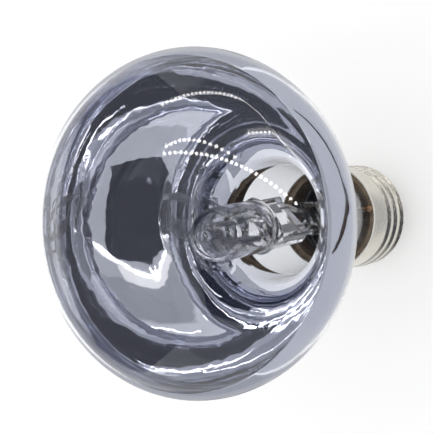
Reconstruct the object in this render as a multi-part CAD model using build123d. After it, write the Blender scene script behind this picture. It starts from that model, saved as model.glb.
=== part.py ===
from build123d import *
from math import acos, atan2, cos, degrees, hypot, radians, sin, sqrt, tan
import os

# Reflector heat lamp with a screw cap, in millimetres.
# The lamp axis is Z, the cap is at the bottom and the face looks up.
# The origin is the tip of the centre contact.

# Blown bulb
bulb_diameter = 80.0
glass_wall = 0.9
rim_above_cap = 65.7
face_edge_radius = 11.5
face_dome_radius = 75.7
back_edge_radius = 17.0
back_edge_angle = 27.0
bowl_radius = 37.0
neck_fillet_radius = 27.0
neck_cone_angle = 7.6
neck_diameter_at_cap = 23.8
neck_in_cap = 9.5

# Mirror film on the inside of the bowl and the upper neck
mirror_film = 0.12
mirror_front_angle = 31.0
mirror_end_above_cap = 20.0

# Screw cap
cap_height = 27.0
skirt_length = 6.5
skirt_wall = 0.3
skirt_flare = 0.2
skirt_flare_length = 1.2
thread_major_diameter = 26.4
thread_pitch = 3.629
thread_round = 1.025
thread_crest_flat = 0.5
thread_start_height = 6.0
thread_run_out = 1.65
thread_end_direction = 5.5
shell_end_relief = 0.2
shell_wall = 0.3
shell_shoulder_height = 7.4
shell_shoulder_radius = 1.5
shell_lip_diameter = 19.4
shell_lip_height = 5.0
cement_depth = 7.0
cement_below_edge = 1.2

# Cap insulator and centre contact
insulator_foot_diameter = 11.2
insulator_top_height = 7.8
contact_diameter = 9.8
contact_height = 0.7
contact_plate = 0.7
eyelet_diameter = 2.6
eyelet_bore = 1.6
eyelet_length = 2.4
tip_solder_diameter = 4.0
tip_solder_flat = 2.2
tip_solder_bulge = 0.19

# Glass stem
stem_top_above_cap = 11.5
stem_tube_diameter = 8.8
stem_wall = 1.0
flare_below_edge = 6.4
flare_radius = 4.6
press_height = 7.0
press_width = 9.6
press_thickness = 3.6
press_shoulder = 4.0
press_corner = 1.2
exhaust_diameter = 4.4
exhaust_bore = 2.4
exhaust_tip_below_edge = 12.5
exhaust_port_diameter = 1.8
exhaust_port_rise = 1.6

# Wires below the capsule
support_wire_diameter = 1.2
support_wire_rise = 1.0
lead_spacing = 5.7
lead_diameter = 0.7
lead_turn_drop = 0.8
lead_turn_length = 3.5
lead_end_height = 1.0
side_lead_diameter = 0.3
side_lead_lift = 0.5
side_joint_direction = -81.7
side_solder_diameter = 1.7
weld_gap = 0.02
wire_bend_radius = 1.2

# Quartz capsule
capsule_foot_above_stem = 8.0
capsule_roll = 41.0
capsule_tilt = -4.6
capsule_diameter = 12.8
capsule_wall = 1.0
capsule_straight_end = 34.5
cavity_foot = 14.6
cavity_foot_diameter = 2.4
cavity_taper = 4.0
pip_diameter = 3.0
pip_tip_diameter = 1.6
pip_height = 1.6
pinch_width = 12.4
pinch_thickness = 3.4
pinch_length = 13.0
pinch_rib_width = 1.6
pinch_rib_rise = 0.5
pinch_corner = 0.6
pinch_shoulder = 4.5

# Conductors of the capsule
foil_width = 2.4
foil_length = 8.0
foil_thickness = 0.1
foil_foot = 2.4
conductor_spacing = 6.0
foil_lap = 1.6
pin_diameter = 0.8
pin_out = 4.2
weld_start = 0.9
weld_overrun = 0.7
filament_lead_diameter = 0.5
filament_coil_diameter = 1.7
filament_foot = 20.0
filament_top = 33.5
hook_wire_diameter = 0.4
hook_clearance = 0.06
hook_seat_depth = 0.6
hook_wrap_angle = 300.0

# Places that follow from the sizes above
bulb_radius = bulb_diameter / 2
rim_height = cap_height + rim_above_cap
neck_radius = neck_diameter_at_cap / 2
neck_end_height = cap_height - neck_in_cap
crest_radius = thread_major_diameter / 2
thread_depth = 2 * thread_round - sqrt((2 * thread_round) ** 2 - (thread_pitch / 2) ** 2)
root_radius = crest_radius - thread_depth
shell_end_radius = root_radius - shell_end_relief
shell_bore_radius = shell_end_radius - shell_wall
skirt_bore_radius = crest_radius - skirt_wall
skirt_foot_height = cap_height - skirt_length
stem_top = cap_height + stem_top_above_cap
flare_height = cap_height - flare_below_edge
exhaust_tip_height = cap_height - exhaust_tip_below_edge
contact_top = contact_height + contact_plate
capsule_radius = capsule_diameter / 2
wire_joint_height = stem_top - press_height / 2
lead_turn_height = exhaust_tip_height - lead_turn_drop
side_joint_radius = (neck_radius + skirt_bore_radius) / 2
pin_offset = (foil_thickness + pin_diameter) / 2
filament_offset = (foil_thickness + filament_lead_diameter) / 2
hook_top = capsule_straight_end + capsule_radius - capsule_wall + hook_seat_depth
capsule_seat = (
    Pos(0, 0, stem_top + capsule_foot_above_stem)
    * Rot(0, capsule_tilt, 0)
    * Rot(0, 0, capsule_roll)
)
mount_turn = Rot(0, 0, capsule_roll)


def polar(centre, radius, angle):
    """Point at an angle in degrees, from +r towards +z, round a centre in the (r, z) plane."""
    return (centre[0] + radius * cos(radians(angle)), centre[1] + radius * sin(radians(angle)))


def arc(centre, radius, start, end):
    """Circular edge in the (r, z) half plane between two angles in degrees."""
    middle = (start + end) / 2
    return ThreePointArc(
        polar(centre, radius, start), polar(centre, radius, middle), polar(centre, radius, end)
    )


def turned(edges):
    """Solid of revolution about the lamp axis from a closed outline in the (r, z) half plane."""
    return revolve(Plane.XZ * make_face(edges), Axis.Z)


def turned_polygon(*points):
    """Solid of revolution about the lamp axis from a polygon in the (r, z) half plane."""
    return turned(Polyline(*points, close=True))


def cylinder(radius, bottom, top):
    """Upright solid cylinder on the lamp axis."""
    return Pos(0, 0, bottom) * extrude(Circle(radius), top - bottom)


def wire_along(path, diameter):
    """Round wire along a path."""
    return sweep(Plane(origin=path @ 0, z_dir=path % 0) * Circle(diameter / 2), path=path)


# Bulb outline: face dome, face edge, back edge, bowl, neck fillet and neck cone, all tangent.
# An inset outline keeps the same centres and angles, so walls and film have an even thickness.
dome_rise = sqrt((face_dome_radius - face_edge_radius) ** 2 - (bulb_radius - face_edge_radius) ** 2)
dome_centre = (0, rim_height - dome_rise)
dome_angle = degrees(atan2(dome_rise, bulb_radius - face_edge_radius))
face_edge_centre = (bulb_radius - face_edge_radius, rim_height)
back_edge_centre = (bulb_radius - back_edge_radius, rim_height)
bowl_centre = polar(back_edge_centre, back_edge_radius - bowl_radius, -back_edge_angle)

cone = radians(neck_cone_angle)
fillet_foot = (
    neck_radius + neck_fillet_radius * cos(cone),
    cap_height - neck_fillet_radius * sin(cone),
)
foot_from_bowl = (fillet_foot[0] - bowl_centre[0], fillet_foot[1] - bowl_centre[1])
along_cone = foot_from_bowl[0] * sin(cone) + foot_from_bowl[1] * cos(cone)
reach_short = (bowl_radius + neck_fillet_radius) ** 2 - hypot(*foot_from_bowl) ** 2
cone_run = -along_cone - sqrt(along_cone**2 + reach_short)
neck_fillet_centre = (
    fillet_foot[0] + cone_run * sin(cone),
    fillet_foot[1] + cone_run * cos(cone),
)
bowl_end_angle = -degrees(
    atan2(neck_fillet_centre[1] - bowl_centre[1], neck_fillet_centre[0] - bowl_centre[0])
)


def neck_cone_radius(height, inset=0.0):
    """Radius of the neck cone at a height, set in from the outer face."""
    return neck_radius + (height - cap_height) * tan(cone) - inset / cos(cone)


def neck_point(outer_height, inset):
    """Point square to the neck cone from its outer face at a height."""
    outer = (neck_cone_radius(outer_height), outer_height)
    return (outer[0] - inset * cos(cone), outer[1] + inset * sin(cone))


def back_outline(inset, foot_height, front_angle):
    """Edges of the bulb's back, from the neck's foot up round the rim to the face edge."""
    fillet_start = polar(neck_fillet_centre, -neck_fillet_radius - inset, -neck_cone_angle)
    return [
        Line(neck_point(foot_height, inset), fillet_start),
        arc(neck_fillet_centre, -neck_fillet_radius - inset, -neck_cone_angle, -bowl_end_angle),
        arc(bowl_centre, bowl_radius - inset, -bowl_end_angle, -back_edge_angle),
        arc(back_edge_centre, back_edge_radius - inset, -back_edge_angle, 0),
        arc(face_edge_centre, face_edge_radius - inset, 0, front_angle),
    ]


def envelope():
    """Blown bulb, closed over the face and open at the end of the neck."""
    apex = dome_centre[1] + face_dome_radius
    outer = back_outline(0, neck_end_height, dome_angle)
    outer.append(arc(dome_centre, face_dome_radius, dome_angle, 90))
    inner = back_outline(glass_wall, neck_end_height, dome_angle)
    inner.append(arc(dome_centre, face_dome_radius - glass_wall, dome_angle, 90))
    foot = Line(neck_point(neck_end_height, 0), neck_point(neck_end_height, glass_wall))
    axis_edge = Line((0, apex - glass_wall), (0, apex))
    return turned(outer + inner + [foot, axis_edge])


def reflector_coating():
    """Aluminium film on the inner face of the bowl and the upper neck; the lower neck is clear."""
    foot_height = cap_height + mirror_end_above_cap
    depth = glass_wall + mirror_film
    outer = back_outline(glass_wall, foot_height, mirror_front_angle)
    inner = back_outline(depth, foot_height, mirror_front_angle)
    foot = Line(neck_point(foot_height, glass_wall), neck_point(foot_height, depth))
    front = Line(
        polar(face_edge_centre, face_edge_radius - glass_wall, mirror_front_angle),
        polar(face_edge_centre, face_edge_radius - depth, mirror_front_angle),
    )
    return turned(outer + inner + [foot, front])


def thread_groove():
    """Cutter for the rolled thread: two round flanks that meet a round root, run along a helix."""
    root_centre = crest_radius - thread_depth + thread_round
    crest_centre = crest_radius - thread_round
    half_pitch = thread_pitch / 2
    half_width = half_pitch - thread_crest_flat / 2
    flank_angle = degrees(acos((half_pitch - half_width) / thread_round))
    meet_angle = degrees(atan2(root_centre - crest_centre, half_pitch))
    clear = crest_radius + thread_depth
    upper = arc((crest_centre, half_pitch), thread_round, -90 + meet_angle, -flank_angle)
    lower = arc((crest_centre, -half_pitch), thread_round, 90 - meet_angle, flank_angle)
    root = arc((root_centre, 0), thread_round, 90 + meet_angle, 270 - meet_angle)
    mouth = Polyline(upper @ 1, (clear, half_width), (clear, -half_width), lower @ 1)
    end_height = skirt_foot_height - thread_run_out
    rise = end_height - thread_start_height
    turns = rise / thread_pitch
    path = Helix(thread_pitch, rise, root_centre)
    section = make_face([upper, lower, root, mouth])
    start = Plane(origin=path @ 0, x_dir=(1, 0, 0), z_dir=path % 0)
    cutter = sweep(start * Pos(-root_centre, 0, 0) * section, path=path, is_frenet=True)
    return Pos(0, 0, thread_start_height) * Rot(0, 0, thread_end_direction - 360 * turns) * cutter


def shell_shoulder(radius):
    """Round shoulder where the shell turns in towards the lip."""
    centre = (shell_end_radius - shell_shoulder_radius, shell_shoulder_height)
    fall = shell_shoulder_height - shell_lip_height - shell_shoulder_radius
    run = centre[0] - shell_lip_diameter / 2
    return arc(centre, radius, 0, -90 + degrees(atan2(fall, run)))


def cap_shell():
    """Screw shell: flared plain skirt, rolled thread and a lip turned in over the insulator."""
    lip_radius = shell_lip_diameter / 2
    flare_foot = cap_height - skirt_flare_length
    thread_foot = thread_start_height + thread_pitch / 2
    outer_shoulder = shell_shoulder(shell_shoulder_radius)
    inner_shoulder = shell_shoulder(shell_shoulder_radius - shell_wall)
    lip_top = shell_lip_height + shell_wall
    blank = turned(
        [
            Polyline(
                outer_shoulder @ 0,
                (shell_end_radius, thread_foot),
                (crest_radius, thread_foot + crest_radius - shell_end_radius),
                (crest_radius, flare_foot),
                (crest_radius + skirt_flare, cap_height),
                (skirt_bore_radius + skirt_flare, cap_height),
                (skirt_bore_radius, flare_foot),
                (skirt_bore_radius, skirt_foot_height),
                (shell_bore_radius, skirt_foot_height - skirt_wall),
                inner_shoulder @ 0,
            ),
            outer_shoulder,
            inner_shoulder,
            Polyline(
                outer_shoulder @ 1,
                (lip_radius, shell_lip_height),
                (lip_radius, lip_top),
                inner_shoulder @ 1,
            ),
        ]
    )
    return blank - thread_groove()


def cap_insulator():
    """Black glass cast into the end of the shell, with a hole for the contact's eyelet."""
    lip_radius = shell_lip_diameter / 2
    shoulder = shell_shoulder(shell_shoulder_radius - shell_wall)
    hole_radius = eyelet_diameter / 2
    outline = [
        Polyline(
            shoulder @ 0,
            (shell_bore_radius, insulator_top_height),
            (hole_radius, insulator_top_height),
            (hole_radius, contact_top),
            (insulator_foot_diameter / 2, contact_top),
            (lip_radius, shell_lip_height),
            (lip_radius, shell_lip_height + shell_wall),
            shoulder @ 1,
        ),
        shoulder,
    ]
    return turned(outline)


def centre_contact():
    """Contact plate with a rolled edge and an eyelet that the lead comes down."""
    edge_centre = (contact_diameter / 2 - contact_plate, contact_top)
    edge = arc(edge_centre, contact_plate, -90, 0)
    rest = Polyline(
        edge @ 1,
        (eyelet_diameter / 2, contact_top),
        (eyelet_diameter / 2, contact_top + eyelet_length),
        (eyelet_bore / 2, contact_top + eyelet_length),
        (eyelet_bore / 2, contact_height),
        edge @ 0,
    )
    return turned([edge, rest])


def centre_solder():
    """Solder on the contact: a low drop with a worn flat, and the plug that fills the eyelet."""
    flat_radius = tip_solder_flat / 2
    drop_radius = tip_solder_diameter / 2
    drop = SagittaArc((flat_radius, 0), (drop_radius, contact_height), -tip_solder_bulge)
    rest = Polyline(
        drop @ 1,
        (eyelet_bore / 2, contact_height),
        (eyelet_bore / 2, contact_top + eyelet_length),
        (lead_diameter / 2, contact_top + eyelet_length),
        (lead_diameter / 2, lead_end_height),
        (0, lead_end_height),
        (0, 0),
        drop @ 0,
    )
    return turned([drop, rest])


def basing_cement():
    """Ring of cement between the neck and the shell, cast round the side lead."""
    top = cap_height - cement_below_edge
    foot = top - cement_depth
    ring = turned_polygon(
        (neck_cone_radius(top), top),
        (skirt_bore_radius, top),
        (skirt_bore_radius, skirt_foot_height),
        (shell_bore_radius, skirt_foot_height - skirt_wall),
        (shell_bore_radius, foot),
        (neck_cone_radius(foot), foot),
    )
    return ring - side_lead()


def mount_point(x, height):
    """Point in the plane of the two wires, which is turned about the lamp axis."""
    return (mount_turn * Pos(x, 0, height)).position


def capsule_point(x, y, height):
    """Point in the capsule's own frame: width, thickness and height above its foot."""
    return (capsule_seat * Pos(x, y, height)).position


def side_point(radius, height):
    """Point in the half plane through the side joint."""
    return (Rot(0, 0, side_joint_direction) * Pos(radius, 0, height)).position


def support_wire(side):
    """Wire from the press to the capsule: up, out to the pin and along it to the weld."""
    reach = conductor_spacing / 2 + (pin_diameter + support_wire_diameter) / 2 + weld_gap
    path = FilletPolyline(
        mount_point(side * lead_spacing / 2, wire_joint_height),
        mount_point(side * lead_spacing / 2, stem_top + support_wire_rise),
        capsule_point(side * reach, pin_offset, -pin_out - weld_overrun),
        capsule_point(side * reach, pin_offset, -weld_start),
        radius=wire_bend_radius,
    )
    return wire_along(path, support_wire_diameter)


def centre_lead():
    """Lead from the press down the stem tube and through the eyelet to the tip."""
    path = FilletPolyline(
        mount_point(-lead_spacing / 2, wire_joint_height),
        mount_point(-lead_spacing / 2, lead_turn_height),
        mount_point(0, lead_turn_height - lead_turn_length),
        mount_point(0, lead_end_height),
        radius=wire_bend_radius,
    )
    return wire_along(path, lead_diameter)


def side_lead():
    """Fine lead from the press, under the end of the neck and up beside it to the skirt's edge."""
    inner_radius = shell_bore_radius - side_lead_diameter
    path = FilletPolyline(
        mount_point(lead_spacing / 2, wire_joint_height),
        mount_point(lead_spacing / 2, lead_turn_height),
        side_point(inner_radius, lead_turn_height),
        side_point(inner_radius, skirt_foot_height - side_lead_lift),
        side_point(side_joint_radius, cap_height),
        radius=wire_bend_radius,
    )
    return wire_along(path, side_lead_diameter)


def neck_core():
    """Plain cone inside the neck's outer face, a drop's height above and below the skirt's edge."""
    reach = side_solder_diameter
    core = Cone(neck_cone_radius(cap_height - reach), neck_cone_radius(cap_height + reach), 2 * reach)
    return Pos(0, 0, cap_height) * core


def side_solder():
    """Drop of solder that joins the side lead to the skirt's edge."""
    centre = Rot(0, 0, side_joint_direction) * Pos(side_joint_radius, 0, cap_height)
    drop = centre * Sphere(side_solder_diameter / 2)
    return drop - nodes["cap_shell"] - neck_core() - nodes["side_lead"]


def glass_stem():
    """Flare sealed into the neck, stem tube, flat press round the wires, and exhaust tube."""
    tube_radius = stem_tube_diameter / 2
    bore_radius = tube_radius - stem_wall
    press_foot = stem_top - press_height
    tube_top = press_foot - press_shoulder
    flare_centre = (tube_radius + flare_radius, flare_height + flare_radius)
    upper = arc(flare_centre, flare_radius, 180, 270)
    lower = arc(flare_centre, flare_radius + stem_wall, 180, 270)
    seal_foot = flare_height - stem_wall
    rim = Polyline(
        upper @ 1,
        (neck_cone_radius(flare_height, glass_wall), flare_height),
        (neck_cone_radius(seal_foot, glass_wall), seal_foot),
        lower @ 1,
    )
    tube = Polyline(upper @ 0, (tube_radius, tube_top), (bore_radius, tube_top), lower @ 0)
    body = turned([upper, lower, rim, tube])
    press_section = RectangleRounded(press_width, press_thickness, press_corner)
    press_face = Pos(0, 0, press_foot) * press_section
    shoulder = loft([Pos(0, 0, tube_top) * Circle(tube_radius), press_face])
    press = extrude(press_face, press_height)
    exhaust_radius = exhaust_diameter / 2
    tip_centre = exhaust_tip_height + exhaust_radius
    exhaust_tip = Pos(0, 0, tip_centre) * Sphere(exhaust_radius)
    exhaust = cylinder(exhaust_radius, tip_centre, tube_top) + exhaust_tip
    port_height = tube_top + exhaust_port_rise
    bore = cylinder(exhaust_bore / 2, tip_centre, port_height)
    port_drill = extrude(Circle(exhaust_port_diameter / 2), tube_radius)
    port = Pos(0, 0, port_height) * Rot(90, 0, 0) * port_drill
    glass = mount_turn * (body + shoulder + press + exhaust - bore - port)
    for name in ("support_wire_1", "support_wire_2", "centre_lead", "side_lead"):
        glass -= nodes[name]
    return glass


def foil(side):
    """Molybdenum foil strip sealed in the pinch."""
    strip = extrude(Rectangle(foil_width, foil_thickness), foil_length)
    return capsule_seat * Pos(side * conductor_spacing / 2, 0, foil_foot) * strip


def capsule_rod(side, offset, diameter, foot, top):
    """Straight round conductor beside one of the foils."""
    rod = extrude(Circle(diameter / 2), top - foot)
    return capsule_seat * Pos(side * conductor_spacing / 2, offset, foot) * rod


def capsule_pin(side):
    """Pin that laps the foil's foot and leaves the pinch downwards."""
    return capsule_rod(side, pin_offset, pin_diameter, -pin_out, foil_foot + foil_lap)


def filament_lead(side):
    """Leg that laps the foil's head and carries one end of the filament."""
    foil_head = foil_foot + foil_length
    return capsule_rod(
        side, filament_offset, filament_lead_diameter, foil_head - foil_lap, filament_foot
    )


def filament():
    """Outer form of the coil: two upright legs joined by a bend."""
    half = conductor_spacing / 2
    bend_height = filament_top - half
    path = Plane.XZ * (
        Line((-half, filament_foot), (-half, bend_height))
        + ThreePointArc((-half, bend_height), (0, filament_top), (half, bend_height))
        + Line((half, bend_height), (half, filament_foot))
    )
    return capsule_seat * Pos(0, filament_offset, 0) * wire_along(path, filament_coil_diameter)


def filament_hook():
    """Wire from the capsule's domed end, bent in an open loop round the filament's bend."""
    loop_radius = (filament_coil_diameter + hook_wire_diameter) / 2 + hook_clearance
    loop_centre = (0, filament_top)
    path = Plane.YZ * (
        Line((loop_radius, hook_top), (loop_radius, filament_top))
        + arc(loop_centre, loop_radius, 0, -hook_wrap_angle)
    )
    return capsule_seat * Pos(0, filament_offset, 0) * wire_along(path, hook_wire_diameter)


def capsule_bulb():
    """Quartz tube with a domed end and a pip, pressed flat at its foot round the conductors."""
    tube_foot = pinch_length + pinch_shoulder
    bore_radius = capsule_radius - capsule_wall
    pip_angle = degrees(acos(pip_diameter / 2 / capsule_radius))
    dome_top = capsule_straight_end + capsule_radius
    pip_tip_radius = pip_tip_diameter / 2
    dome = arc((0, capsule_straight_end), capsule_radius, 0, pip_angle)
    pip = arc((0, dome_top + pip_height - pip_tip_radius), pip_tip_radius, 0, 90)
    tube = turned(
        [
            Polyline(pip @ 1, (0, tube_foot), (capsule_radius, tube_foot), dome @ 0),
            dome,
            Line(dome @ 1, pip @ 0),
            pip,
        ]
    )
    pinch_section = RectangleRounded(pinch_width, pinch_thickness, pinch_corner)
    pinch = extrude(pinch_section, pinch_length)
    rib_section = Rectangle(pinch_rib_width, pinch_thickness + 2 * pinch_rib_rise)
    for side in (-1, 1):
        rib_place = Pos(side * (pinch_width - pinch_rib_width) / 2, 0, 0)
        pinch += extrude(rib_place * fillet(rib_section.vertices(), pinch_corner), pinch_length)
    pinch_head = Pos(0, 0, pinch_length) * pinch_section
    shoulder = loft([pinch_head, Pos(0, 0, tube_foot) * Circle(capsule_radius)])
    inner_dome = arc((0, capsule_straight_end), bore_radius, 0, 90)
    cavity = turned(
        [
            inner_dome,
            Polyline(
                inner_dome @ 1,
                (0, cavity_foot),
                (cavity_foot_diameter / 2, cavity_foot),
                (bore_radius, cavity_foot + cavity_taper),
                inner_dome @ 0,
            ),
        ]
    )
    quartz = capsule_seat * (tube + shoulder + pinch - cavity)
    for name in ("foil", "capsule_pin", "filament_lead"):
        quartz -= nodes[f"{name}_1"]
        quartz -= nodes[f"{name}_2"]
    return quartz - nodes["filament_hook"]


nodes = {
    "envelope": envelope(),
    "reflector_coating": reflector_coating(),
    "cap_shell": cap_shell(),
    "cap_insulator": cap_insulator(),
    "centre_contact": centre_contact(),
    "centre_solder": centre_solder(),
    "basing_cement": basing_cement(),
    "centre_lead": centre_lead(),
    "side_lead": side_lead(),
    "filament": filament(),
    "filament_hook": filament_hook(),
}
for number, side in ((1, 1), (2, -1)):
    nodes[f"support_wire_{number}"] = support_wire(side)
    nodes[f"foil_{number}"] = foil(side)
    nodes[f"capsule_pin_{number}"] = capsule_pin(side)
    nodes[f"filament_lead_{number}"] = filament_lead(side)
nodes["side_solder"] = side_solder()
nodes["glass_stem"] = glass_stem()
nodes["capsule_bulb"] = capsule_bulb()

os.makedirs("parts", exist_ok=True)
for name, solid in nodes.items():
    export_step(solid, f"parts/{name}.step")
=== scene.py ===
import logging
import math
from dataclasses import dataclass
from enum import Enum
from typing import Any, Sequence

import bpy
from mathutils import Matrix, Vector


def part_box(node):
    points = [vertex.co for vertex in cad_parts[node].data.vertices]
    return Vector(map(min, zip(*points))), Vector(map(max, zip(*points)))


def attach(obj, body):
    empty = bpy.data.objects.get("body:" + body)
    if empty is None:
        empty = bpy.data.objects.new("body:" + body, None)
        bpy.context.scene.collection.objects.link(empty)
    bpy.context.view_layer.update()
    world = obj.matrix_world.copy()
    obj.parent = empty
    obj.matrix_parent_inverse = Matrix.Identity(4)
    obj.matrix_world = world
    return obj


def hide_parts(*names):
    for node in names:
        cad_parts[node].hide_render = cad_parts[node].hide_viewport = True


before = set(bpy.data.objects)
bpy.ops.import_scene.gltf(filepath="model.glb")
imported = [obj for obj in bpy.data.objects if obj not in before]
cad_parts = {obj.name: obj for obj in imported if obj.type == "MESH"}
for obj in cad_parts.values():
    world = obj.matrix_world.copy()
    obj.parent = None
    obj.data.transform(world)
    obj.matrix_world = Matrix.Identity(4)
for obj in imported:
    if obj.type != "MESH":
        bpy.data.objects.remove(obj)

log = logging.getLogger("heat_lamp")

MM = 0.001
BODY = "root"
WHITE = (1.0, 1.0, 1.0, 1.0)
BLACK = (0.0, 0.0, 0.0, 1.0)
NOISE_DETAIL = 3.0
PATTERN_MIDDLE = (0.3, 0.7)
ROUND_EXPONENT = 2.0
QUARTER_TURN = math.pi / 2
# Handle of a Bezier curve that follows a quarter circle, as a share of the radius.
QUARTER_HANDLE = 0.5523
Triple = tuple[float, float, float]
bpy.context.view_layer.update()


def mix(low: float, high: float, share: float) -> float:
    """Value between two others.

    Args:
        low: the value at a share of 0.
        high: the value at a share of 1.
        share: how far it is from low to high.

    Returns:
        The value.
    """
    return low + (high - low) * share


def clamp(share: float) -> float:
    """Keeps a share from 0 to 1.

    Args:
        share: any number.

    Returns:
        The nearest number from 0 to 1.
    """
    return min(max(share, 0.0), 1.0)


def ease(share: float) -> float:
    """Bends an even rise into one that starts and ends gently.

    Args:
        share: how far the rise is, from 0 to 1.

    Returns:
        The height that it has reached, from 0 to 1.
    """
    return share * share * (3.0 - 2.0 * share)


def select_only(piece: bpy.types.Object) -> None:
    """Makes one object the only selected and active one.

    Args:
        piece: the object to select.
    """
    bpy.ops.object.select_all(action="DESELECT")
    piece.select_set(True)
    bpy.context.view_layer.objects.active = piece


def apply_modifier(piece: bpy.types.Object, kind: str, **settings: Any) -> None:
    """Adds a modifier and applies it to the mesh.

    Args:
        piece: the object to change.
        kind: the modifier's type.
        settings: the modifier's own properties.
    """
    select_only(piece)
    bpy.ops.object.modifier_add(type=kind)
    modifier = piece.modifiers[-1]
    for name, value in settings.items():
        setattr(modifier, name, value)
    bpy.ops.object.modifier_apply(modifier=modifier.name)


def seat_mesh(piece: bpy.types.Object, seat: Matrix) -> None:
    """Puts a piece at a place and leaves that place in its mesh.

    Args:
        piece: the object to place, modelled at the origin.
        seat: the place in the frame.
    """
    select_only(piece)
    piece.matrix_world = seat
    bpy.ops.object.transform_apply(location=True, rotation=True, scale=True)


def close_seams(piece: bpy.types.Object, gap: float, inside: bool = False) -> None:
    """Merges doubled vertices and turns the faces the same way.

    Args:
        piece: the object to clean.
        gap: the largest distance between vertices that are one.
        inside: whether the faces point inwards, as on the wall of a hollow.
    """
    select_only(piece)
    bpy.ops.object.mode_set(mode="EDIT")
    bpy.ops.mesh.select_all(action="SELECT")
    bpy.ops.mesh.remove_doubles(threshold=gap)
    bpy.ops.mesh.normals_make_consistent(inside=inside)
    bpy.ops.object.mode_set(mode="OBJECT")


def smooth(piece: bpy.types.Object, sharp_angle: float) -> None:
    """Shades a piece smooth except over its sharp edges.

    Args:
        piece: the object to shade.
        sharp_angle: the angle in degrees over which an edge stays sharp.
    """
    select_only(piece)
    bpy.ops.object.shade_smooth_by_angle(angle=math.radians(sharp_angle))


def trace_outline(name: str, outline: Sequence[Vector]) -> bpy.types.Object:
    """Draws an open outline by extruding one vertex from point to point.

    Args:
        name: the new piece's name.
        outline: points of radius and height.

    Returns:
        An object whose edges lie in the half plane of +X and Z.
    """
    bpy.ops.object.select_all(action="DESELECT")
    bpy.ops.mesh.primitive_plane_add(size=MM)
    piece = bpy.context.object
    piece.name = piece.data.name = name
    bpy.ops.object.mode_set(mode="EDIT")
    bpy.ops.mesh.merge(type="CENTER")
    place = Vector((0.0, 0.0, 0.0))
    for number, point in enumerate(outline):
        step = Vector((point.x, 0.0, point.y)) - place
        if number == 0:
            bpy.ops.transform.translate(value=step)
        else:
            bpy.ops.mesh.extrude_region_move(TRANSFORM_OT_translate={"value": step})
        place += step
    bpy.ops.object.mode_set(mode="OBJECT")
    return piece


def spin_outline(piece: bpy.types.Object, segments: int, gap: float) -> None:
    """Spins a traced outline once round the lamp axis.

    Args:
        piece: the traced outline.
        segments: the number of steps in the turn.
        gap: the largest distance between vertices that are one.
    """
    select_only(piece)
    bpy.ops.object.mode_set(mode="EDIT")
    bpy.ops.mesh.select_all(action="SELECT")
    bpy.ops.mesh.spin(
        steps=segments, angle=math.tau, center=(0.0, 0.0, 0.0), axis=(0.0, 0.0, 1.0)
    )
    bpy.ops.object.mode_set(mode="OBJECT")
    close_seams(piece, gap)


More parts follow.
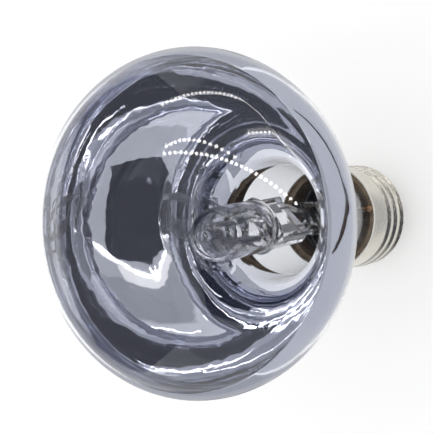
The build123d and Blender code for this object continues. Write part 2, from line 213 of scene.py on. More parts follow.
class NodeBoard:
    """A material's node tree, with its Principled shader, while it is being wired."""

    def __init__(self, name: str) -> None:
        """Starts a material.

        Args:
            name: the material's name.
        """
        self.material = bpy.data.materials.new(name)
        self.material.use_nodes = True
        self.tree = self.material.node_tree
        self.shader = self.tree.nodes["Principled BSDF"]
        self.coordinates = self.tree.nodes.new("ShaderNodeTexCoord").outputs["Object"]

    def set(self, **sockets: Any) -> None:
        """Sets constant values on the shader's own sockets.

        Args:
            sockets: values by socket name, with _ for a space.
        """
        for name, value in sockets.items():
            self.shader.inputs[name.replace("_", " ")].default_value = value

    def stretch(self, scale: Triple) -> bpy.types.NodeSocket:
        """Object coordinates scaled on each axis.

        Args:
            scale: the factor on each axis.

        Returns:
            The scaled coordinates' socket.
        """
        mapping = self.tree.nodes.new("ShaderNodeMapping")
        mapping.inputs["Scale"].default_value = scale
        self.tree.links.new(self.coordinates, mapping.inputs["Vector"])
        return mapping.outputs["Vector"]

    def noise(
        self, size: float, vector: bpy.types.NodeSocket | None = None
    ) -> bpy.types.NodeSocket:
        """Cloudy pattern of a real size.

        Args:
            size: the width of its patches in metres.
            vector: the coordinates, or None for plain object coordinates.

        Returns:
            The pattern's socket, from 0 to 1.
        """
        texture = self.tree.nodes.new("ShaderNodeTexNoise")
        texture.inputs["Scale"].default_value = 1.0 / size
        texture.inputs["Detail"].default_value = NOISE_DETAIL
        self.tree.links.new(vector or self.coordinates, texture.inputs["Vector"])
        return texture.outputs[0]

    def spread(
        self, pattern: bpy.types.NodeSocket, low: float, high: float
    ) -> bpy.types.NodeSocket:
        """Maps the busy middle of a pattern to a range of values.

        Args:
            pattern: a socket from 0 to 1.
            low: the value at the pattern's low end.
            high: the value at its high end.

        Returns:
            The mapped value's socket.
        """
        ranger = self.tree.nodes.new("ShaderNodeMapRange")
        names = ("From Min", "From Max", "To Min", "To Max")
        for name, value in zip(names, (*PATTERN_MIDDLE, low, high)):
            ranger.inputs[name].default_value = value
        self.tree.links.new(pattern, ranger.inputs["Value"])
        return ranger.outputs["Result"]

    def tint(self, pattern: bpy.types.NodeSocket, low: Triple, high: Triple) -> None:
        """Varies the base colour between two tones.

        Args:
            pattern: a socket from 0 to 1.
            low: the colour at the pattern's low end.
            high: the colour at its high end.
        """
        ramp = self.tree.nodes.new("ShaderNodeValToRGB")
        for element, place, colour in zip(ramp.color_ramp.elements, PATTERN_MIDDLE, (low, high)):
            element.position = place
            element.color = (*colour, 1.0)
        self.tree.links.new(pattern, ramp.inputs["Fac"])
        self.tree.links.new(ramp.outputs["Color"], self.shader.inputs["Base Color"])

    def roughen(self, pattern: bpy.types.NodeSocket, low: float, high: float) -> None:
        """Varies the roughness.

        Args:
            pattern: a socket from 0 to 1.
            low: the roughness at the pattern's low end.
            high: the roughness at its high end.
        """
        self.tree.links.new(self.spread(pattern, low, high), self.shader.inputs["Roughness"])

    def emboss(self, pattern: bpy.types.NodeSocket, depth: float) -> None:
        """Raises the surface by a pattern.

        Args:
            pattern: a socket from 0 to 1.
            depth: the height in metres between its low and high ends.
        """
        bump = self.tree.nodes.new("ShaderNodeBump")
        bump.inputs["Strength"].default_value = 1.0
        bump.inputs["Distance"].default_value = depth
        self.tree.links.new(pattern, bump.inputs["Height"])
        self.tree.links.new(bump.outputs["Normal"], self.shader.inputs["Normal"])


@dataclass(frozen=True)
class GlassFinish:
    """Clear glass with the slight unevenness of its making."""

    name: str
    tint: Triple
    refraction: float
    ripple_size: float
    ripple_depth: float
    haze: tuple[float, float] = (0.0, 0.02)

    def material(self) -> bpy.types.Material:
        """Wires the material.

        Returns:
            The finished material.
        """
        board = NodeBoard(self.name)
        board.set(Base_Color=(*self.tint, 1.0), IOR=self.refraction, Transmission_Weight=1.0)
        ripple = board.noise(self.ripple_size)
        board.roughen(ripple, *self.haze)
        board.emboss(ripple, self.ripple_depth)
        return board.material


@dataclass(frozen=True)
class MetalFinish:
    """Bare or plated metal with cloudy tone, uneven gloss and a fine grain."""

    name: str
    dark: Triple
    light: Triple
    gloss: tuple[float, float]
    cloud_size: float
    grain_size: float
    grain_depth: float
    grain_stretch: Triple = (1.0, 1.0, 1.0)

    def material(self) -> bpy.types.Material:
        """Wires the material.

        Returns:
            The finished material.
        """
        board = NodeBoard(self.name)
        board.set(Metallic=1.0)
        board.tint(board.noise(self.cloud_size), self.dark, self.light)
        grain = board.noise(self.grain_size, vector=board.stretch(self.grain_stretch))
        board.roughen(grain, *self.gloss)
        board.emboss(grain, self.grain_depth)
        return board.material


@dataclass(frozen=True)
class MineralFinish:
    """Cast or fired mineral: opaque, mottled and slightly grainy."""

    name: str
    dark: Triple
    light: Triple
    gloss: tuple[float, float]
    mottle_size: float
    grain_depth: float

    def material(self) -> bpy.types.Material:
        """Wires the material.

        Returns:
            The finished material.
        """
        board = NodeBoard(self.name)
        mottle = board.noise(self.mottle_size)
        board.tint(mottle, self.dark, self.light)
        board.roughen(mottle, *self.gloss)
        board.emboss(mottle, self.grain_depth)
        return board.material


class Finish(Enum):
    """The finishes of this lamp. A new piece's slot has its finish's name."""

    CLEAR_GLASS = GlassFinish(
        "clear_glass", (0.97, 0.98, 1.0), refraction=1.5, ripple_size=9 * MM, ripple_depth=0.004 * MM
    )
    MIRROR_FILM = MetalFinish(
        "mirror_film",
        dark=(0.73, 0.74, 0.8),
        light=(0.79, 0.8, 0.85),
        gloss=(0.02, 0.05),
        cloud_size=16 * MM,
        grain_size=14 * MM,
        grain_depth=0.2 * MM,
    )
    STEM_GLASS = GlassFinish(
        "stem_glass", (0.93, 0.96, 0.95), refraction=1.52, ripple_size=3 * MM, ripple_depth=0.02 * MM
    )
    QUARTZ = GlassFinish(
        "quartz", (0.98, 0.98, 0.99), refraction=1.46, ripple_size=2.8 * MM, ripple_depth=0.045 * MM
    )
    NICKEL_WIRE = MetalFinish(
        "nickel_wire",
        dark=(0.5, 0.48, 0.45),
        light=(0.66, 0.64, 0.6),
        gloss=(0.25, 0.45),
        cloud_size=2 * MM,
        grain_size=0.3 * MM,
        grain_depth=0.005 * MM,
    )
    COPPER_WIRE = MetalFinish(
        "copper_wire",
        dark=(0.6, 0.32, 0.2),
        light=(0.76, 0.46, 0.3),
        gloss=(0.25, 0.45),
        cloud_size=2 * MM,
        grain_size=0.3 * MM,
        grain_depth=0.005 * MM,
    )
    MOLYBDENUM_FOIL = MetalFinish(
        "molybdenum_foil",
        dark=(0.38, 0.38, 0.41),
        light=(0.5, 0.5, 0.53),
        gloss=(0.4, 0.6),
        cloud_size=1 * MM,
        grain_size=0.2 * MM,
        grain_depth=0.004 * MM,
    )
    MOLYBDENUM_PIN = MetalFinish(
        "molybdenum_pin",
        dark=(0.1, 0.09, 0.09),
        light=(0.26, 0.24, 0.23),
        gloss=(0.35, 0.55),
        cloud_size=1.5 * MM,
        grain_size=0.3 * MM,
        grain_depth=0.005 * MM,
    )
    TUNGSTEN = MetalFinish(
        "tungsten",
        dark=(0.5, 0.5, 0.52),
        light=(0.66, 0.66, 0.68),
        gloss=(0.2, 0.38),
        cloud_size=1 * MM,
        grain_size=0.2 * MM,
        grain_depth=0.004 * MM,
    )
    NICKEL_PLATE = MetalFinish(
        "nickel_plate",
        dark=(0.62, 0.59, 0.52),
        light=(0.75, 0.72, 0.64),
        gloss=(0.16, 0.3),
        cloud_size=8 * MM,
        grain_size=1.2 * MM,
        grain_depth=0.012 * MM,
        grain_stretch=(1.0, 1.0, 6.0),
    )
    BLACK_GLASS = MineralFinish(
        "black_glass",
        dark=(0.012, 0.012, 0.015),
        light=(0.03, 0.03, 0.036),
        gloss=(0.08, 0.2),
        mottle_size=3 * MM,
        grain_depth=0.03 * MM,
    )
    CONTACT_BRASS = MetalFinish(
        "contact_brass",
        dark=(0.66, 0.54, 0.3),
        light=(0.82, 0.71, 0.45),
        gloss=(0.25, 0.42),
        cloud_size=3 * MM,
        grain_size=0.4 * MM,
        grain_depth=0.008 * MM,
    )
    SOLDER = MetalFinish(
        "solder",
        dark=(0.45, 0.44, 0.43),
        light=(0.66, 0.65, 0.64),
        gloss=(0.3, 0.55),
        cloud_size=1.2 * MM,
        grain_size=0.4 * MM,
        grain_depth=0.02 * MM,
    )
    STAINED_SOLDER = MetalFinish(
        "stained_solder",
        dark=(0.36, 0.2, 0.11),
        light=(0.58, 0.38, 0.24),
        gloss=(0.35, 0.6),
        cloud_size=0.8 * MM,
        grain_size=0.4 * MM,
        grain_depth=0.02 * MM,
    )
    CEMENT = MineralFinish(
        "cement",
        dark=(0.27, 0.195, 0.13),
        light=(0.47, 0.355, 0.24),
        gloss=(0.75, 0.95),
        mottle_size=1.5 * MM,
        grain_depth=0.06 * MM,
    )


class FinishRack:
    """Makes each finish once and hands it out."""

    def __init__(self) -> None:
        """Starts with no finish made."""
        self.made: dict[Finish, bpy.types.Material] = {}

    def take(self, finish: Finish) -> bpy.types.Material:
        """Gives a finish's material.

        Args:
            finish: the finish wanted.

        Returns:
            Its material, made at the first call.
        """
        if finish not in self.made:
            self.made[finish] = finish.value.material()
        return self.made[finish]

    def dress(self, piece: bpy.types.Object, finish: Finish) -> None:
        """Gives a piece one finish all over.

        Args:
            piece: the object to dress.
            finish: the finish wanted.
        """
        piece.data.materials.clear()
        piece.data.materials.append(self.take(finish))

    def fit(self, piece: bpy.types.Object, finish: Finish, *nodes: str) -> None:
        """Dresses a new piece and puts it in the frame in place of CAD nodes.

        Args:
            piece: the finished piece.
            finish: its finish.
            nodes: the CAD nodes that it stands for.
        """
        self.dress(piece, finish)
        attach(piece, BODY)
        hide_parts(*nodes)
        log.info("%s: %d faces", piece.name, len(piece.data.polygons))


@dataclass
class BulbOutline:
    """Outline of the blown bulb in the half plane of radius and height: six tangent runs."""

    rim_radius: float
    apex: float
    cap_edge: float
    face_edge_radius: float = 11.5 * MM
    face_dome_radius: float = 75.7 * MM
    back_edge_radius: float = 17.0 * MM
    back_edge_angle: float = 27.0
    bowl_radius: float = 37.0 * MM
    neck_fillet_radius: float = 27.0 * MM
    neck_cone_angle: float = 7.6
    neck_radius: float = 11.9 * MM
    arc_step: float = 1.0
    least_arc_steps: int = 6
    neck_steps: int = 12

    def __post_init__(self) -> None:
        """Works out the centres and angles at which the runs meet."""
        face_run = self.rim_radius - self.face_edge_radius
        dome_rise = math.sqrt((self.face_dome_radius - self.face_edge_radius) ** 2 - face_run**2)
        self.dome_centre = Vector((0.0, self.apex - self.face_dome_radius))
        self.dome_angle = math.degrees(math.atan2(dome_rise, face_run))
        self.rim_height = self.dome_centre.y + dome_rise
        self.face_edge_centre = Vector((face_run, self.rim_height))
        self.back_edge_centre = Vector((self.rim_radius - self.back_edge_radius, self.rim_height))
        self.bowl_centre = self.polar(
            self.back_edge_centre, self.back_edge_radius - self.bowl_radius, -self.back_edge_angle
        )
        cone = math.radians(self.neck_cone_angle)
        up_cone = Vector((math.sin(cone), math.cos(cone)))
        off_cone = Vector((math.cos(cone), -math.sin(cone)))
        foot = Vector((self.neck_radius, self.cap_edge)) + self.neck_fillet_radius * off_cone
        from_bowl = foot - self.bowl_centre
        along = from_bowl.dot(up_cone)
        short = (self.bowl_radius + self.neck_fillet_radius) ** 2 - from_bowl.length_squared
        self.fillet_centre = foot - (along + math.sqrt(along**2 + short)) * up_cone
        to_fillet = self.fillet_centre - self.bowl_centre
        self.bowl_end_angle = -math.degrees(math.atan2(to_fillet.y, to_fillet.x))
        self.up_cone, self.off_cone = up_cone, off_cone

    @staticmethod
    def polar(centre: Vector, radius: float, angle: float) -> Vector:
        """Point at an angle round a centre.

        Args:
            centre: the centre's radius and height.
            radius: the distance from it.
            angle: degrees from outwards to upwards.

        Returns:
            The point's radius and height.
        """
        turn = math.radians(angle)
        return centre + radius * Vector((math.cos(turn), math.sin(turn)))

    def arc(self, centre: Vector, radius: float, start: float, end: float) -> list[Vector]:
        """Points along an arc, without its first one.

        Args:
            centre: the arc's centre.
            radius: its radius.
            start: the angle it starts at, in degrees.
            end: the angle it ends at.

        Returns:
            Evenly spaced points.
        """
        count = max(self.least_arc_steps, round(abs(end - start) / self.arc_step))
        return [
            self.polar(centre, radius, mix(start, end, number / count))
            for number in range(1, count + 1)
        ]

    def neck_point(self, height: float, inset: float) -> Vector:
        """Point square to the neck's cone from its outer face at a height.

        Args:
            height: the height on the outer face.
            inset: the depth under it.

        Returns:
            The point's radius and height.
        """
        foot = Vector((self.neck_radius, self.cap_edge))
        rise = (height - self.cap_edge) / self.up_cone.y
        return foot + rise * self.up_cone - inset * self.off_cone

    def back(self, inset: float, foot: float, front_angle: float) -> list[Vector]:
        """Points up the neck, along the bowl and round the rim.

        Args:
            inset: the depth under the outer face.
            foot: the height at which the outline starts on the neck.
            front_angle: the angle on the face edge at which it ends.

        Returns:
            The points in order.
        """
        fillet = -self.neck_fillet_radius - inset
        start = self.neck_point(foot, inset)
        top = self.polar(self.fillet_centre, fillet, -self.neck_cone_angle)
        steps = self.neck_steps
        points = [start.lerp(top, number / steps) for number in range(steps + 1)]
        points += self.arc(self.fillet_centre, fillet, -self.neck_cone_angle, -self.bowl_end_angle)
        points += self.arc(
            self.bowl_centre, self.bowl_radius - inset, -self.bowl_end_angle, -self.back_edge_angle
        )
        points += self.arc(
            self.back_edge_centre, self.back_edge_radius - inset, -self.back_edge_angle, 0.0
        )
        return points + self.arc(
            self.face_edge_centre, self.face_edge_radius - inset, 0.0, front_angle
        )

    def whole(self, foot: float) -> list[Vector]:
        """Points of the whole outer face, from the end of the neck to the middle of the face.

        Args:
            foot: the height of the neck's end.

        Returns:
            The points in order.
        """
        points = self.back(0.0, foot, self.dome_angle)
        return points + self.arc(self.dome_centre, self.face_dome_radius, self.dome_angle, 90.0)


@dataclass
class Bulb:
    """The blown glass bulb and the mirror film inside its bowl and upper neck."""

    outline: BulbOutline
    neck_end: float
    film_above_cap: float = 20.0 * MM
    wall: float = 0.9 * MM
    film: float = 0.12 * MM
    film_gap: float = 0.02 * MM
    film_front_angle: float = 31.0
    segments: int = 240
    seam_gap: float = 0.001 * MM
    sharp_angle: float = 35.0

    def blow_glass(self) -> bpy.types.Object:
        """Spins the bulb's outer face and gives it its wall.

        Returns:
            The glass.
        """
        glass = trace_outline("bulb_glass", self.outline.whole(self.neck_end))
        spin_outline(glass, self.segments, self.seam_gap)
        apply_modifier(glass, "SOLIDIFY", thickness=self.wall, offset=-1.0, use_even_offset=True)
        smooth(glass, self.sharp_angle)
        return glass

    def coat_film(self) -> bpy.types.Object:
        """Spins the film a hair's breadth inside the glass.

        Returns:
            The film.
        """
        depth = self.wall + self.film_gap
        foot = self.outline.cap_edge + self.film_above_cap
        points = self.outline.back(depth, foot, self.film_front_angle)
        film = trace_outline("bulb_mirror_film", points)
        spin_outline(film, self.segments, self.seam_gap)
        thickness = self.film - self.film_gap
        apply_modifier(film, "SOLIDIFY", thickness=thickness, offset=-1.0, use_even_offset=True)
        smooth(film, self.sharp_angle)
        return film

    def build(self, rack: FinishRack) -> None:
        """Makes and fits both pieces.

        Args:
            rack: the finishes.
        """
        rack.fit(self.blow_glass(), Finish.CLEAR_GLASS, "envelope")
        rack.fit(self.coat_film(), Finish.MIRROR_FILM, "reflector_coating")


@dataclass
class Capsule:
    """The quartz capsule with its wound filament, in its own frame above the stem.

    The rib at each edge of the pinch rises over pinch_rib_slope, a share of its width.
    """

    stem_top: float
    above_stem: float = 8.0 * MM
    roll: float = 41.0
    tilt: float = -4.6
    radius: float = 6.4 * MM
    wall: float = 1.0 * MM
    straight_end: float = 34.5 * MM
    pip_radius: float = 1.5 * MM
    pip_tip_radius: float = 0.8 * MM
    pip_height: float = 1.6 * MM
    pip_angles: tuple[float, ...] = (0.0, 20.0, 40.0, 60.0, 75.0, 88.0)
    pinch_width: float = 12.4 * MM
    pinch_thickness: float = 3.4 * MM
    pinch_length: float = 13.0 * MM
    pinch_shoulder: float = 4.5 * MM
    pinch_rib: float = 0.5 * MM
    pinch_rib_width: float = 1.6 * MM
    pinch_rib_slope: float = 0.35
    pinch_squareness: float = 9.0
    cavity_foot: float = 14.6 * MM
    cavity_foot_radius: float = 1.2 * MM
    cavity_taper: float = 4.0 * MM
    cavity_tip_radius: float = 0.2 * MM
    ring_vertices: int = 96
    pinch_rings: int = 14
    tube_rings: int = 10
    dome_rings: int = 20
    quartz_sharp_angle: float = 40.0
    leg_spacing: float = 6.0 * MM
    lead_offset: float = 0.3 * MM
    filament_foot: float = 20.0 * MM
    filament_top: float = 33.5 * MM
    coil_radius: float = 0.85 * MM
    coil_wire: float = 0.24 * MM
    coil_pitch: float = 0.42 * MM
    coil_wire_sides: int = 8
    coil_turn_steps: int = 20
    coil_sharp_angle: float = 60.0
    path_resolution: int = 48
    seam_gap: float = 0.001 * MM

    @property
    def seat(self) -> Matrix:
        """Place of the capsule's own frame, whose origin is the middle of the pinch's foot.

        Returns:
            The place in the lamp's frame.
        """
        tilt = Matrix.Rotation(math.radians(self.tilt), 4, "Y")
        roll = Matrix.Rotation(math.radians(self.roll), 4, "Z")
        return Matrix.Translation((0.0, 0.0, self.stem_top + self.above_stem)) @ tilt @ roll

    def dome(self, radius: float, least: float) -> list[Vector]:
        """Radii and heights up a round end.

        Args:
            radius: the end's radius.
            least: the radius to stop at.

        Returns:
            The points in order.
        """
        end = math.degrees(math.acos(least / radius))
        centre = Vector((0.0, self.straight_end))
        return [
            BulbOutline.polar(centre, radius, end * number / self.dome_rings)
            for number in range(1, self.dome_rings + 1)
        ]

    @staticmethod
    def straight(radius: float, low: float, high: float, count: int) -> list[Vector]:
        """Radii and heights up a straight run, without its first one.

        Args:
            radius: the run's radius.
            low: the height it starts at.
            high: the height it ends at.
            count: the number of rings.

        Returns:
            The points in order.
        """
        return [Vector((radius, mix(low, high, number / count))) for number in range(1, count + 1)]

    def outer_rings(self) -> list[Vector]:
        """Radii and heights of the outer rings, from the foot to the tip of the pip.

        Returns:
            The points in order, with the tube's radius over the pinch.
        """
        tube_foot = self.pinch_length + self.pinch_shoulder
        rings = [Vector((self.radius, 0.0))]
        rings += self.straight(self.radius, 0.0, self.pinch_length, self.pinch_rings)
        rings += self.straight(self.radius, self.pinch_length, tube_foot, self.pinch_rings)
        rings += self.straight(self.radius, tube_foot, self.straight_end, self.tube_rings)
        rings += self.dome(self.radius, self.pip_radius)
        tip = Vector((0.0, self.straight_end + self.radius + self.pip_height - self.pip_tip_radius))
        return rings + [
            BulbOutline.polar(tip, self.pip_tip_radius, angle) for angle in self.pip_angles
        ]

    def inner_rings(self) -> list[Vector]:
        """Radii and heights of the hollow's rings, from its foot to its round end.

        Returns:
            The points in order.
        """
        bore = self.radius - self.wall
        taper_top = self.cavity_foot + self.cavity_taper
        rings = []
        for number in range(self.tube_rings + 1):
            share = number / self.tube_rings
            radius = mix(self.cavity_foot_radius, bore, math.sin(share * QUARTER_TURN))
            rings.append(Vector((radius, mix(self.cavity_foot, taper_top, share))))
        rings += self.straight(bore, taper_top, self.straight_end, self.tube_rings)
        return rings + self.dome(bore, self.cavity_tip_radius)

    def raise_rings(self, name: str, rings: Sequence[Vector]) -> bpy.types.Object:
        """Extrudes a circle from ring to ring and closes both ends.

        Args:
            name: the new piece's name.
            rings: each ring's radius and height.

        Returns:
            A closed round form in the capsule's own frame.
        """
        bpy.ops.object.select_all(action="DESELECT")
        bpy.ops.mesh.primitive_circle_add(
            vertices=self.ring_vertices,
            radius=rings[0].x,
            fill_type="NGON",
            location=(0.0, 0.0, rings[0].y),
        )
        piece = bpy.context.object
        piece.name = piece.data.name = name
        bpy.ops.object.mode_set(mode="EDIT")
        for below, ring in zip(rings, rings[1:]):
            bpy.ops.mesh.extrude_region_move(
                TRANSFORM_OT_translate={"value": (0.0, 0.0, ring.y - below.y)}
            )
            factor = ring.x / below.x
            bpy.ops.transform.resize(value=(factor, factor, 1.0), center_override=(0.0, 0.0, ring.y))
        bpy.ops.object.mode_set(mode="OBJECT")
        bpy.ops.object.transform_apply(location=True, rotation=False, scale=False)
        return piece

    def press_point(self, place: Vector) -> Vector:
        """Moves a point of the round tube to where the press leaves it.

        Args:
            place: the point on the round tube.

        Returns:
            The point on the pinch, its shoulder or the tube.
        """
        roundness = ease(clamp((place.z - self.pinch_length) / self.pinch_shoulder))
        if roundness >= 1.0:
            return place
        turn = math.atan2(place.y, place.x)
        power = ROUND_EXPONENT / mix(self.pinch_squareness, ROUND_EXPONENT, roundness)
        cosine, sine = math.cos(turn), math.sin(turn)
        half_width = mix(self.pinch_width / 2, self.radius, roundness)
        x = half_width * math.copysign(abs(cosine) ** power, cosine)
        rib_start = self.pinch_width / 2 - self.pinch_rib_width
        on_rib = clamp((abs(x) - rib_start) / (self.pinch_rib_slope * self.pinch_rib_width))
        flat = self.pinch_thickness / 2 + self.pinch_rib * on_rib
        half_thickness = mix(flat, self.radius, roundness)
        y = half_thickness * math.copysign(abs(sine) ** power, sine)
        return Vector((x, y, place.z))

    def draw_quartz(self) -> bpy.types.Object:
        """Makes the capsule: tube, round end and pip, pressed flat at its foot, with its hollow.

        Returns:
            The quartz.
        """
        body = self.raise_rings("capsule_quartz", self.outer_rings())
        for vertex in body.data.vertices:
            vertex.co = self.press_point(vertex.co)
        close_seams(body, self.seam_gap)
        hollow = self.raise_rings("capsule_hollow", self.inner_rings())
        close_seams(hollow, self.seam_gap, inside=True)
        select_only(body)
        hollow.select_set(True)
        bpy.ops.object.join()
        smooth(body, self.quartz_sharp_angle)
        seat_mesh(body, self.seat)
        return body

    def filament_path(self) -> bpy.types.Object:
        """Draws the line that the coil is wound along: up one leg, round the bend and down the other.

        Returns:
            A curve in the capsule's own frame.
        """
        half = self.leg_spacing / 2
        bend = self.filament_top - half
        data = bpy.data.curves.new("filament_path", "CURVE")
        data.dimensions = "3D"
        data.resolution_u = self.path_resolution
        arm = half * QUARTER_HANDLE
        upright, across = Vector((0.0, 0.0, 1.0)), Vector((1.0, 0.0, 0.0))
        leg = (bend - self.filament_foot) / 3
        stations = (
            (Vector((-half, self.lead_offset, self.filament_foot)), upright, leg, leg),
            (Vector((-half, self.lead_offset, bend)), upright, leg, arm),
            (Vector((0.0, self.lead_offset, self.filament_top)), across, arm, arm),
            (Vector((half, self.lead_offset, bend)), -upright, arm, leg),
            (Vector((half, self.lead_offset, self.filament_foot)), -upright, leg, leg),
        )
        spline = data.splines.new("BEZIER")
        spline.bezier_points.add(len(stations) - 1)
        for point, (place, heading, before, after) in zip(spline.bezier_points, stations):
            point.co = place
            point.handle_left_type = point.handle_right_type = "FREE"
            point.handle_left = place - heading * before
            point.handle_right = place + heading * after
        path = bpy.data.objects.new("filament_path", data)
        bpy.context.collection.objects.link(path)
        return path

    def wind_filament(self) -> bpy.types.Object:
        """Winds the wire into a coil and bends the coil along its path.

        Returns:
            The filament.
        """
        path = self.filament_path()
        length = path.data.splines[0].calc_length()
        turns = round(length / self.coil_pitch)
        bpy.ops.object.select_all(action="DESELECT")
        bpy.ops.mesh.primitive_circle_add(
            vertices=self.coil_wire_sides,
            radius=self.coil_wire / 2,
            location=(self.coil_radius - self.coil_wire / 2, 0.0, 0.0),
            rotation=(QUARTER_TURN, 0.0, 0.0),
        )
        coil = bpy.context.object
        coil.name = coil.data.name = "filament_coil"
        bpy.ops.object.transform_apply(location=True, rotation=True, scale=True)
        apply_modifier(
            coil,
            "SCREW",
            axis="Z",
            angle=math.tau,
            screw_offset=length / turns,
            iterations=turns,
            steps=self.coil_turn_steps,
            render_steps=self.coil_turn_steps,
            use_merge_vertices=True,
        )
        bpy.ops.object.mode_set(mode="EDIT")
        bpy.ops.mesh.select_all(action="DESELECT")
        bpy.ops.mesh.select_non_manifold()
        bpy.ops.mesh.edge_face_add()
        bpy.ops.object.mode_set(mode="OBJECT")
        seat_mesh(coil, Matrix.Rotation(QUARTER_TURN, 4, "Y"))
        apply_modifier(coil, "CURVE", object=path, deform_axis="POS_X")
        bpy.data.objects.remove(path)
        close_seams(coil, self.seam_gap)
        smooth(coil, self.coil_sharp_angle)
        seat_mesh(coil, self.seat)
        return coil

    def build(self, rack: FinishRack) -> None:
        """Makes and fits the capsule's pieces.

        Args:
            rack: the finishes.
        """
        rack.fit(self.draw_quartz(), Finish.QUARTZ, "capsule_bulb")
        rack.fit(self.wind_filament(), Finish.TUNGSTEN, "filament")


@dataclass(frozen=True)
class PhotoCamera:
    """Camera that sees the lamp as the photograph does: from above its face, on its -Y side.

    Its target lies to the right of the picture's middle by aside and under it by below.
    """

    target: Vector
    tilt: float = 30.84
    roll: float = -2.38
    distance: float = 454.9 * MM
    aside: float = -5.702 * MM
    below: float = 1.660 * MM
    focal_ratio: float = 4.647
    sensor_width: float = 36.0
    clip_start: float = 0.01

    def axes(self) -> tuple[Vector, Vector, Vector]:
        """Directions of the picture.

        Returns:
            The picture's right, up and forward directions.
        """
        tilt, roll = math.radians(self.tilt), math.radians(self.roll)
        right = Vector(
            (math.sin(roll), -math.cos(tilt) * math.cos(roll), -math.sin(tilt) * math.cos(roll))
        )
        up = Vector(
            (math.cos(roll), math.cos(tilt) * math.sin(roll), math.sin(tilt) * math.sin(roll))
        )
        forward = Vector((0.0, math.sin(tilt), -math.cos(tilt)))
        return right, up, forward

    def build(self) -> None:
        """Makes the scene's camera."""
        right, up, forward = self.axes()
        data = bpy.data.cameras.new("photo_camera")
        data.sensor_width = self.sensor_width
        data.lens = self.sensor_width * self.focal_ratio
        data.clip_start = self.clip_start
        camera = bpy.data.objects.new("photo_camera", data)
        bpy.context.collection.objects.link(camera)
        place = self.target - self.aside * right + self.below * up - self.distance * forward
        turn = Matrix((right, up, -forward)).transposed().to_4x4()
        camera.matrix_world = Matrix.Translation(place) @ turn
        bpy.context.scene.camera = camera


class Facing(Enum):
    """Ways to set up a card."""

    CAMERA = "square to the camera's view"
    SIDE = "along the camera's view, upright in the picture"
    FLOOR = "flat, a little above the floor"


@dataclass(frozen=True)
class Card:
    """Flat card that the lamp mirrors and the camera doesn't see.

    Its middle is in metres to the picture's right, up and towards the camera from the rim's middle.
    A card on the floor has its middle in the frame and can be turned about Z, in degrees.
    """

    name: str
    facing: Facing
    middle: Triple
    size: tuple[float, float]
    tone: Triple
    turn: float = 0.0


@dataclass(frozen=True)
class LightStrip:
    """Bent row of small square lights.

    Its start, middle and end are in metres as a standing card's middle is.
    """

    name: str
    start: Triple
    middle: Triple
    end: Triple
    count: int
    strength: float
    light_size: float = 5.0 * MM


TENT_CARDS = (
    Card("tent_front", Facing.CAMERA, (0.0, 0.0, 0.41), size=(5.0, 5.0), tone=(0.52, 0.53, 0.56)),
    Card(
        "tent_opening",
        Facing.CAMERA,
        (-0.05, -0.096, 0.4),
        size=(0.66, 0.528),
        tone=(0.02, 0.022, 0.034),
    ),
    Card("tent_roof", Facing.CAMERA, (0.0, 1.6, 0.405), size=(5.0, 1.6), tone=(0.7, 0.71, 0.74)),
    Card("tent_sill", Facing.CAMERA, (0.0, -1.6, 0.405), size=(5.0, 1.6), tone=(0.78, 0.79, 0.82)),
    Card("tent_brow", Facing.CAMERA, (0.02, 0.52, 0.405), size=(1.2, 0.46), tone=(0.36, 0.37, 0.4)),
    Card("tent_side", Facing.SIDE, (-0.62, 0.0, 0.1), size=(0.6, 1.2), tone=(0.28, 0.28, 0.3)),
    Card("tent_far_side", Facing.SIDE, (0.62, 0.0, 0.1), size=(0.6, 1.2), tone=(0.42, 0.43, 0.46)),
    Card("tent_base", Facing.FLOOR, (0.0, -0.42, 0.002), size=(2.9, 0.8), tone=(0.57, 0.58, 0.62)),
    Card("tent_wing_up", Facing.FLOOR, (0.2, 0.09, 0.002), size=(0.3, 0.2), tone=(0.5, 0.51, 0.54)),
    Card(
        "tent_wing_down",
        Facing.FLOOR,
        (-0.2, 0.09, 0.002),
        size=(0.3, 0.2),
        tone=(0.4, 0.41, 0.45),
    ),
    Card(
        "seam_long",
        Facing.FLOOR,
        (0.149, -0.132, 0.004),
        size=(0.3, 0.01),
        tone=(0.02, 0.02, 0.025),
        turn=-22.8,
    ),
    Card(
        "seam_short",
        Facing.FLOOR,
        (-0.05, -0.218, 0.004),
        size=(0.32, 0.013),
        tone=(0.035, 0.022, 0.015),
        turn=67.2,
    ),
)

TENT_STRIPS = (
    LightStrip(
        "tent_haze",
        start=(-0.02, 0.25, 0.4),
        middle=(0.06, 0.25, 0.4),
        end=(0.16, 0.235, 0.4),
        count=12,
        strength=1.1,
        light_size=70 * MM,
    ),
    LightStrip(
        "tent_glow",
        start=(-0.18, 0.263, 0.398),
        middle=(0.1, 0.216, 0.398),
        end=(0.4, 0.116, 0.398),
        count=36,
        strength=2.0,
        light_size=26 * MM,
    ),
    LightStrip(
        "tent_arch",
        start=(-0.18, 0.26, 0.395),
        middle=(0.1, 0.212, 0.395),
        end=(0.4, 0.112, 0.395),
        count=42,
        strength=12.0,
        light_size=8 * MM,
    ),
    LightStrip(
        "tent_ceiling",
        start=(0.03, 0.6, 0.262),
        middle=(-0.124, 0.6, 0.228),
        end=(-0.27, 0.6, 0.205),
        count=18,
        strength=18.0,
        light_size=7 * MM,
    ),
    LightStrip(
        "tent_strip_low",
        start=(-0.235, 0.114, 0.147),
        middle=(-0.133, 0.106, 0.245),
        end=(-0.016, 0.03, 0.296),
        count=27,
        strength=16.0,
        light_size=6 * MM,
    ),
    LightStrip(
        "tent_strip_double",
        start=(-0.235, 0.128, 0.147),
        middle=(-0.19, 0.143, 0.19),
        end=(-0.13, 0.118, 0.25),
        count=14,
        strength=14.0,
        light_size=6 * MM,
    ),
    LightStrip(
        "tent_strip_high",
        start=(-0.218, 0.186, 0.09),
        middle=(-0.118, 0.216, 0.18),
        end=(0.004, 0.13, 0.27),
        count=36,
        strength=12.0,
    ),
)


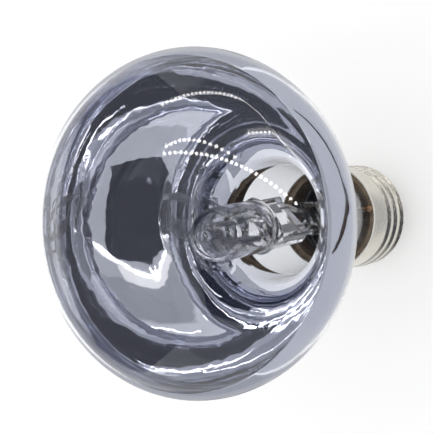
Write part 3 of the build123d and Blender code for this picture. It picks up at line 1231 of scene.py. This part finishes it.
@dataclass
class Studio:
    """Pale floor, soft light and the light tent that the lamp mirrors, none of it part of the lamp."""

    camera: PhotoCamera
    floor_size: float = 3.0
    floor_tone: Triple = (0.94, 0.94, 0.945)
    floor_roughness: float = 0.9
    floor_lift: float = 0.23
    sky_level: float = 0.9
    white_level: float = 1.0
    light_bounces: int = 24
    light_tone: Triple = (1.0, 0.98, 0.96)
    cards: tuple[Card, ...] = TENT_CARDS
    strips: tuple[LightStrip, ...] = TENT_STRIPS

    def lay_floor(self) -> None:
        """Lays the pale floor under the lamp's tip."""
        bpy.ops.object.select_all(action="DESELECT")
        bpy.ops.mesh.primitive_plane_add(size=self.floor_size)
        floor = bpy.context.object
        floor.name = "floor"
        board = NodeBoard("floor_paper")
        board.set(
            Base_Color=(*self.floor_tone, 1.0),
            Roughness=self.floor_roughness,
            Emission_Color=WHITE,
        )
        seen = self.seen_rays(board.tree, 0.0, self.floor_lift)
        board.tree.links.new(seen, board.shader.inputs["Emission Strength"])
        floor.data.materials.append(board.material)

    @staticmethod
    def seen_rays(tree: bpy.types.NodeTree, other: float, extra: float) -> bpy.types.NodeSocket:
        """Level that differs for rays which show the background.

        Args:
            tree: the node tree to add to.
            other: the level for light that falls on things.
            extra: what is added for camera, mirrored and refracted rays.

        Returns:
            The level's socket.
        """
        path = tree.nodes.new("ShaderNodeLightPath")
        socket = path.outputs["Is Camera Ray"]
        for name in ("Is Glossy Ray", "Is Transmission Ray"):
            either = tree.nodes.new("ShaderNodeMath")
            either.operation = "MAXIMUM"
            tree.links.new(socket, either.inputs[0])
            tree.links.new(path.outputs[name], either.inputs[1])
            socket = either.outputs["Value"]
        level = tree.nodes.new("ShaderNodeMath")
        level.operation = "MULTIPLY_ADD"
        tree.links.new(socket, level.inputs[0])
        level.inputs[1].default_value = extra
        level.inputs[2].default_value = other
        return level.outputs["Value"]

    def light_sky(self) -> None:
        """Lights the lamp evenly from all round, before a white background."""
        world = bpy.data.worlds.new("studio_sky")
        world.use_nodes = True
        background = world.node_tree.nodes["Background"]
        background.inputs["Color"].default_value = WHITE
        extra = self.white_level - self.sky_level
        level = self.seen_rays(world.node_tree, self.sky_level, extra)
        world.node_tree.links.new(level, background.inputs["Strength"])
        bpy.context.scene.world = world

    def spot(self, place: Triple) -> Vector:
        """Point of the stage in the frame.

        Args:
            place: metres to the picture's right, up and towards the camera from the rim's middle.

        Returns:
            The point.
        """
        right, up, forward = self.camera.axes()
        return self.camera.target + place[0] * right + place[1] * up - place[2] * forward

    @staticmethod
    def glow(name: str, tone: Triple, strength: float) -> bpy.types.Material:
        """Even glow for a card or a light.

        Args:
            name: the material's name.
            tone: its colour.
            strength: its level, where 1 is white.

        Returns:
            The material.
        """
        board = NodeBoard(name)
        board.set(
            Base_Color=BLACK,
            Specular_IOR_Level=0.0,
            Emission_Color=(*tone, 1.0),
            Emission_Strength=strength,
        )
        return board.material

    @staticmethod
    def mirror_only(piece: bpy.types.Object) -> None:
        """Lets only mirrored and refracted rays see a piece of the stage.

        Args:
            piece: the card or strip.
        """
        piece.visible_camera = piece.visible_diffuse = piece.visible_shadow = False

    def card_seat(self, card: Card) -> Matrix:
        """Place of a card in the frame.

        Args:
            card: the card to set up.

        Returns:
            The place of its middle, with its width on X and its height on Y.
        """
        if card.facing is Facing.FLOOR:
            turn = Matrix.Rotation(math.radians(card.turn), 4, "Z")
            return Matrix.Translation(card.middle) @ turn
        right, up, forward = self.camera.axes()
        axes = {
            Facing.CAMERA: (right, up, -forward),
            Facing.SIDE: (forward, up, right),
        }[card.facing]
        return Matrix.Translation(self.spot(card.middle)) @ Matrix(axes).transposed().to_4x4()

    def hang_card(self, card: Card) -> None:
        """Sets up one card.

        Args:
            card: the card to set up.
        """
        bpy.ops.object.select_all(action="DESELECT")
        bpy.ops.mesh.primitive_plane_add(size=1.0)
        piece = bpy.context.object
        piece.name = card.name
        size = Matrix.Diagonal((*card.size, 1.0, 1.0))
        seat_mesh(piece, self.card_seat(card) @ size)
        piece.data.materials.append(self.glow(card.name, card.tone, self.white_level))
        self.mirror_only(piece)

    def hang_strip(self, strip: LightStrip) -> None:
        """Hangs one row of lights, each facing the lamp.

        Args:
            strip: the row to hang.
        """
        start, middle, end = map(self.spot, (strip.start, strip.middle, strip.end))
        # The control point that takes a quadratic curve through the middle.
        bend = 2.0 * middle - (start + end) / 2
        lights = []
        for number in range(strip.count):
            along = number / (strip.count - 1)
            place = (1 - along) ** 2 * start + 2 * along * (1 - along) * bend + along**2 * end
            bpy.ops.object.select_all(action="DESELECT")
            bpy.ops.mesh.primitive_plane_add(size=strip.light_size)
            turn = (place - self.camera.target).to_track_quat("Z", "Y").to_matrix().to_4x4()
            seat_mesh(bpy.context.object, Matrix.Translation(place) @ turn)
            lights.append(bpy.context.object)
        select_only(lights[0])
        for light in lights:
            light.select_set(True)
        bpy.ops.object.join()
        row = bpy.context.object
        row.name = strip.name
        row.data.materials.append(self.glow(strip.name, self.light_tone, strip.strength))
        self.mirror_only(row)

    def build(self) -> None:
        """Sets up the floor, the light, what is mirrored and the view."""
        self.lay_floor()
        self.light_sky()
        for card in self.cards:
            self.hang_card(card)
        for strip in self.strips:
            self.hang_strip(strip)
        paths = bpy.context.scene.cycles
        paths.max_bounces = paths.glossy_bounces = paths.transmission_bounces = self.light_bounces
        bpy.context.scene.view_settings.view_transform = "Standard"


CAD_FINISHES: dict[str, Finish] = {
    "glass_stem": Finish.STEM_GLASS,
    "support_wire_1": Finish.NICKEL_WIRE,
    "support_wire_2": Finish.NICKEL_WIRE,
    "centre_lead": Finish.COPPER_WIRE,
    "side_lead": Finish.COPPER_WIRE,
    "foil_1": Finish.MOLYBDENUM_FOIL,
    "foil_2": Finish.MOLYBDENUM_FOIL,
    "capsule_pin_1": Finish.MOLYBDENUM_PIN,
    "capsule_pin_2": Finish.MOLYBDENUM_PIN,
    "filament_lead_1": Finish.TUNGSTEN,
    "filament_lead_2": Finish.TUNGSTEN,
    "filament_hook": Finish.TUNGSTEN,
    "cap_shell": Finish.NICKEL_PLATE,
    "cap_insulator": Finish.BLACK_GLASS,
    "centre_contact": Finish.CONTACT_BRASS,
    "centre_solder": Finish.SOLDER,
    "side_solder": Finish.STAINED_SOLDER,
    "basing_cement": Finish.CEMENT,
}


def main() -> None:
    """Builds the lamp round the CAD frame and sets up the picture."""
    logging.basicConfig(level=logging.INFO, format="%(name)s %(message)s")
    rack = FinishRack()
    envelope_low, envelope_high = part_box("envelope")
    outline = BulbOutline(envelope_high.x, envelope_high.z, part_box("cap_shell")[1].z)
    Bulb(outline, envelope_low.z).build(rack)
    Capsule(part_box("glass_stem")[1].z).build(rack)
    for node, finish in CAD_FINISHES.items():
        rack.dress(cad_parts[node], finish)
        log.info("%s: %s", node, finish.value.name)
    camera = PhotoCamera(Vector((0.0, 0.0, outline.rim_height)))
    camera.build()
    Studio(camera).build()


if __name__ == "__main__":
    main()
